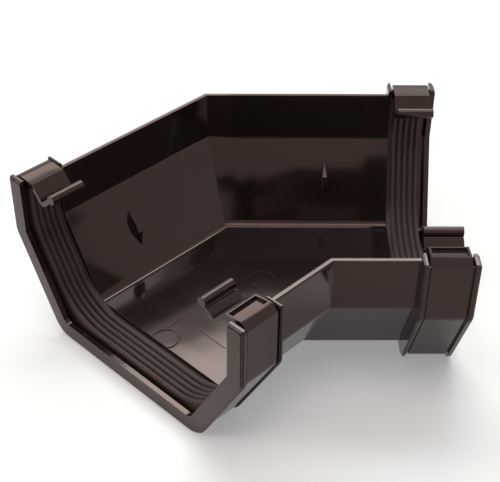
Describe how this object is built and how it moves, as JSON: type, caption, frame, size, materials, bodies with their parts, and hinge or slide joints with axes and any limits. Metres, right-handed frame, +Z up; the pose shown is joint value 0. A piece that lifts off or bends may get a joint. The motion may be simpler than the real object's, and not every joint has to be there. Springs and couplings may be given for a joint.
{
  "type": "gutter angle",
  "caption": "Moulded 135 degree rain gutter angle with a snap-in socket, ribbed rubber seal and gutter clips at each end.",
  "frame": {"origin": "trough floor level, where the centre lines of the two legs cross", "axes": "+X along the right leg towards its end, +Y towards the far side, +Z up"},
  "size_m": [0.1801, 0.1676, 0.0701],
  "materials": {
    "plastic": "glossy dark brown moulded plastic",
    "rubber": "matt dark rubber"
  },
  "bodies": {
    "root": {"body": "plastic", "seal_left": "rubber", "seal_right": "rubber"}
  },
  "joints": []
}
